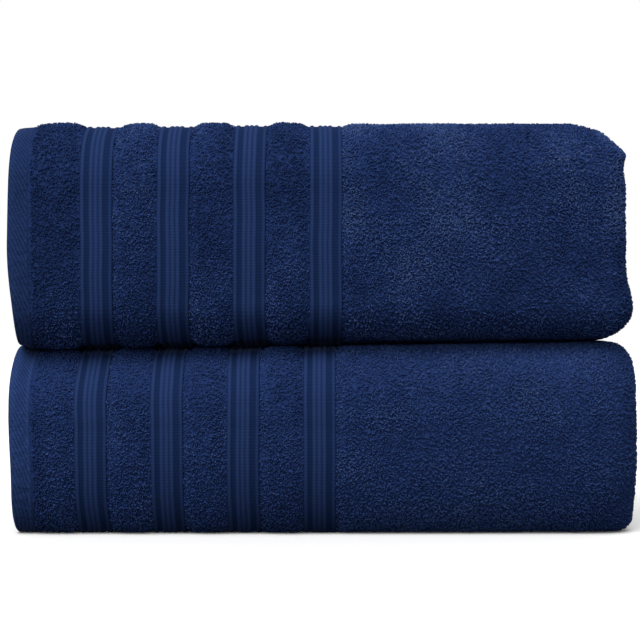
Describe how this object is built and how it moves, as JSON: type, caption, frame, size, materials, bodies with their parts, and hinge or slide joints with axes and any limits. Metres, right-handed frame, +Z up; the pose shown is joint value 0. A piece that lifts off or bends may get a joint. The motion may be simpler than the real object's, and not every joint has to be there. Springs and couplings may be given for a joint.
{
  "type": "bath towel set",
  "caption": "Folded navy terry bath towels in a stack, with woven dobby borders near the hemmed end; the upper towel lifts off.",
  "frame": {"origin": "centre of the lower towel's footprint, on the surface it stands on", "axes": "+Z up, +X along the folds from the hemmed end to the folded end, -Y out of the rounded front"},
  "size_m": [0.36, 0.2, 0.2403],
  "materials": {
    "terry_pile": "matte",
    "border_weave": "matte",
    "hem_weave": "matte",
    "sewing_thread": "satin"
  },
  "bodies": {
    "lower_towel": {"lower_end_hem": "hem_weave", "lower_terry_band_1": "terry_pile", "lower_dobby_border_1": "border_weave", "lower_terry_band_2": "terry_pile", "lower_dobby_border_2": "border_weave", "lower_terry_band_3": "terry_pile", "lower_dobby_border_3": "border_weave", "lower_terry_band_4": "terry_pile", "lower_dobby_border_4": "border_weave", "lower_terry_field": "terry_pile", "lower_inner_end_hem": "hem_weave", "lower_inner_terry_bands": "terry_pile", "lower_inner_dobby_borders": "border_weave", "lower_inner_terry_field": "terry_pile", "lower_terry_layer_3": "terry_pile", "lower_terry_layer_4": "terry_pile", "lower_outer_end_fold": "terry_pile", "lower_inner_end_fold": "terry_pile", "lower_hem_end_fold": "terry_pile", "lower_outer_side_hems": "hem_weave", "lower_inner_side_hems": "hem_weave", "lower_side_hem_thread": "sewing_thread", "lower_end_hem_thread": "sewing_thread"},
    "upper_towel": {"upper_end_hem": "hem_weave", "upper_terry_band_1": "terry_pile", "upper_dobby_border_1": "border_weave", "upper_terry_band_2": "terry_pile", "upper_dobby_border_2": "border_weave", "upper_terry_band_3": "terry_pile", "upper_dobby_border_3": "border_weave", "upper_terry_band_4": "terry_pile", "upper_dobby_border_4": "border_weave", "upper_terry_field": "terry_pile", "upper_inner_end_hem": "hem_weave", "upper_inner_terry_bands": "terry_pile", "upper_inner_dobby_borders": "border_weave", "upper_inner_terry_field": "terry_pile", "upper_terry_layer_3": "terry_pile", "upper_terry_layer_4": "terry_pile", "upper_outer_end_fold": "terry_pile", "upper_inner_end_fold": "terry_pile", "upper_hem_end_fold": "terry_pile", "upper_outer_side_hems": "hem_weave", "upper_inner_side_hems": "hem_weave", "upper_side_hem_thread": "sewing_thread", "upper_end_hem_thread": "sewing_thread"}
  },
  "joints": [
    {"name": "lift_off", "type": "slide", "parent": "lower_towel", "child": "upper_towel", "axis": [0, 0, 1], "range_m": [0, 0.15]}
  ]
}
